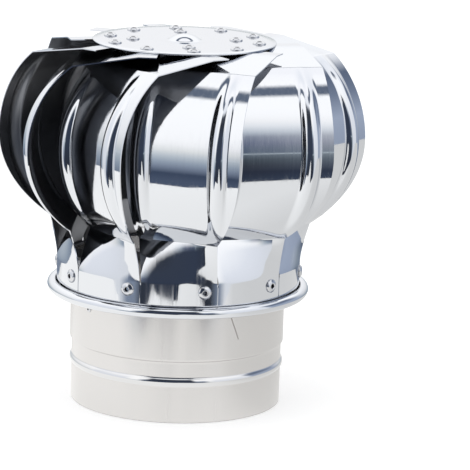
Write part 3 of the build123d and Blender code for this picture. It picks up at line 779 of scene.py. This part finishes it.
# These lists say how much of a part shows, by degrees to the right of straight ahead.
WINDOW_SHARE = [
    (-180, 0.82), (-105, 0.85), (-95, 1), (-41, 1), (-34, 0), (31, 0), (38, 0.9), (72, 0.9), (80, 0.3),
    (180, 0.82)]
RIGHT_SHARE = [(-180, 0), (74, 0), (84, 1), (128, 1), (145, 0), (180, 0)]
MIDDLE_SHARE = [(-180, 0), (-36, 0), (-28, 1), (19, 1), (24, 0), (180, 0)]
SIDE_SHARE = [
    (-180, 0), (-104, 0), (-97, 1), (-56, 1), (-50, 0), (39, 0), (45, 1), (84, 1), (91, 0), (180, 0)]
laid_over = (
    (WINDOWS, WINDOW_SHARE), (RIGHT_CORNER, RIGHT_SHARE), (DARK_MIDDLE, MIDDLE_SHARE),
    (PALE_SIDES, SIDE_SHARE))
print("parts of the room:", 1 + len(laid_over))


# %% Light of the room
def stage_material(name, thing):
    """Empty material on a stage piece, as a tree and its output."""
    made = bpy.data.materials.new(name)
    made.use_nodes = True
    made.node_tree.nodes.clear()
    thing.data.materials.append(made)
    return made.node_tree, put(made.node_tree, "ShaderNodeOutputMaterial")


def steps_of(tree, value, steps):
    """Colours that change with a value, from the first to the last of its steps."""
    low, high = steps[0][0], steps[-1][0]
    level = put(tree, "ShaderNodeMapRange", {"Value": value, "From Min": low, "From Max": high})
    made = put(tree, "ShaderNodeValToRGB", {"Fac": level.outputs["Result"]})
    ramp = made.color_ramp
    ramp.elements[0].color, ramp.elements[1].color = steps[0][1], steps[-1][1]
    for place, colour in steps[1:-1]:
        ramp.elements.new((place - low) / (high - low)).color = colour
    return made.outputs["Color"]


def greys(steps):
    """Steps of plain numbers as steps of grey."""
    return [(place, (v, v, v, 1.0)) for place, v in steps]


ROOM_LIGHT = 1.35
tree, out = stage_material("room_light", room)
place = put(tree, "ShaderNodeTexCoord")
unit = put(tree, "ShaderNodeVectorMath", {0: place.outputs["Object"]}, operation="NORMALIZE")
axes = put(tree, "ShaderNodeSeparateXYZ", {0: unit.outputs[0]})
rise = put(tree, "ShaderNodeMath", {0: axes.outputs["Z"]}, operation="ARCSINE")
height = put(tree, "ShaderNodeMath", {0: rise.outputs[0]}, operation="DEGREES").outputs[0]
towards = put(tree, "ShaderNodeMath", {0: axes.outputs["Y"], 1: -1.0}, operation="MULTIPLY")
turned = put(tree, "ShaderNodeMath", {0: axes.outputs["X"], 1: towards.outputs[0]}, operation="ARCTAN2")
bearing = put(tree, "ShaderNodeMath", {0: turned.outputs[0]}, operation="DEGREES").outputs[0]
wall = steps_of(tree, height, [(at, srgb(code)) for at, code in FRONT])
# A Mix node takes its two colours at inputs 6 and 7 and gives one at output 2.
for colours, share in laid_over:
    over = steps_of(tree, height, [(at, srgb(code)) for at, code in colours])
    wall = put(tree, "ShaderNodeMix", {
        "Factor": steps_of(tree, bearing, greys(share)), 6: wall, 7: over}, data_type="RGBA").outputs[2]
glow = put(tree, "ShaderNodeEmission", {"Color": wall, "Strength": ROOM_LIGHT})
tree.links.new(glow.outputs[0], out.inputs["Surface"])
print("room light:", len(tree.nodes), "nodes")

# %% [markdown]
# ## Table and floor
# Looking down into a vane's foot, the eye sees the table that the vent stands on, and where the table
# ends, a dark line crosses the steel. One white plane can't be both that table and the endless white
# ground of the picture, so there are two. The table is seen only in reflections: its front edge is
# close by, and a tongue of it reaches forward in front of the middle vanes. The floor is left out of
# reflections and takes the soft shadow.

# %% Table that the steel reflects
TABLE_Z, TABLE_WARM = -0.0002, 0.985
TABLE = [
    (-0.5, -0.165), (-0.13, -0.205), (-0.13, -0.32), (0.0, -0.32), (0.06, -0.8), (0.11, -0.8),
    (0.11, -0.228), (0.9, -0.3), (0.9, 0.24), (-0.5, 0.24)]
# The table glows by itself with painted light, brighter to the left, and painted shade darkens it towards its
# right back corner.
TABLE_LIGHT = [(-0.5, 1.18), (-0.12, 1.16), (0.1, 1.0), (0.9, 1.0)]
TABLE_SHADE = [(-1.0, 1.0), (-0.03, 1.0), (0.03, 0.84), (0.16, 0.80), (2.1, 0.80)]

work = bmesh.new()
work.faces.new([work.verts.new((x, y, TABLE_Z)) for x, y in TABLE])
table = stage_object("table", work)
only_mirrored(table)
tree, out = stage_material("table_top", table)
place = put(tree, "ShaderNodeTexCoord")
axes = put(tree, "ShaderNodeSeparateXYZ", {0: place.outputs["Object"]})
lit = steps_of(tree, axes.outputs["X"], [(at, (v, v, v * TABLE_WARM, 1.0)) for at, v in TABLE_LIGHT])
corner = put(tree, "ShaderNodeMath", {0: axes.outputs["X"], 1: axes.outputs["Y"]}, operation="ADD")
shade = steps_of(tree, corner.outputs[0], greys(TABLE_SHADE))
glow = put(tree, "ShaderNodeEmission", {"Color": lit, "Strength": shade})
tree.links.new(glow.outputs[0], out.inputs["Surface"])

# %% Floor that the camera sees
FLOOR_R, FLOOR_SEGMENTS, FLOOR_Z, FLOOR_LIGHT = 30.0, 96, -0.0003, 0.2
work = bmesh.new()
bmesh.ops.create_circle(work, cap_ends=True, radius=FLOOR_R, segments=FLOOR_SEGMENTS)
bmesh.ops.translate(work, verts=work.verts, vec=(0, 0, FLOOR_Z))
floor = stage_object("floor", work)
floor.visible_glossy = False
tree, out = stage_material("white_floor", floor)
matt = put(tree, "ShaderNodeBsdfDiffuse", {"Color": srgb("#fbfbfb")})
lift = put(tree, "ShaderNodeEmission", {"Color": srgb("#ffffff"), "Strength": FLOOR_LIGHT})
both = put(tree, "ShaderNodeAddShader", {0: matt.outputs[0], 1: lift.outputs[0]})
tree.links.new(both.outputs[0], out.inputs["Surface"])

# %% [markdown]
# ## World and lamps
# A plain white world gives the white ground behind the vent and an even light on the floor. Two soft
# lamps add a shadow under the collar. They stay out of reflections, because two bright squares on
# every vane would give the studio away.

# %% World and lamps
world = bpy.data.worlds.new("studio")
bpy.context.scene.world = world
world.use_nodes = True
world.node_tree.nodes.clear()
white = put(world.node_tree, "ShaderNodeBackground", {"Color": srgb("#ffffff"), "Strength": 1.0})
put(world.node_tree, "ShaderNodeOutputWorld", {"Surface": white.outputs[0]})
LAMP_AIM, LAMP_SIZE = Vector((0, 0, 0.09)), 1.4
KEY_PLACE, KEY_POWER = (-1.1, -0.9, 1.9), 5.0
FILL_PLACE, FILL_POWER = (1.2, -1.0, 1.5), 2.0


def lamp(name, place, power):
    """Soft square lamp that looks at the vent and isn't itself mirrored in it."""
    data = bpy.data.lights.new(name, "AREA")
    data.size, data.energy = LAMP_SIZE, power
    made = bpy.data.objects.new(name, data)
    made.location = place
    made.rotation_euler = (LAMP_AIM - Vector(place)).to_track_quat("-Z", "Y").to_euler()
    made.visible_glossy = False
    bpy.context.scene.collection.objects.link(made)
    print(name, power, "W")


lamp("key_lamp", KEY_PLACE, KEY_POWER)
lamp("fill_lamp", FILL_PLACE, FILL_POWER)
bpy.context.scene.view_settings.view_transform = "Standard"
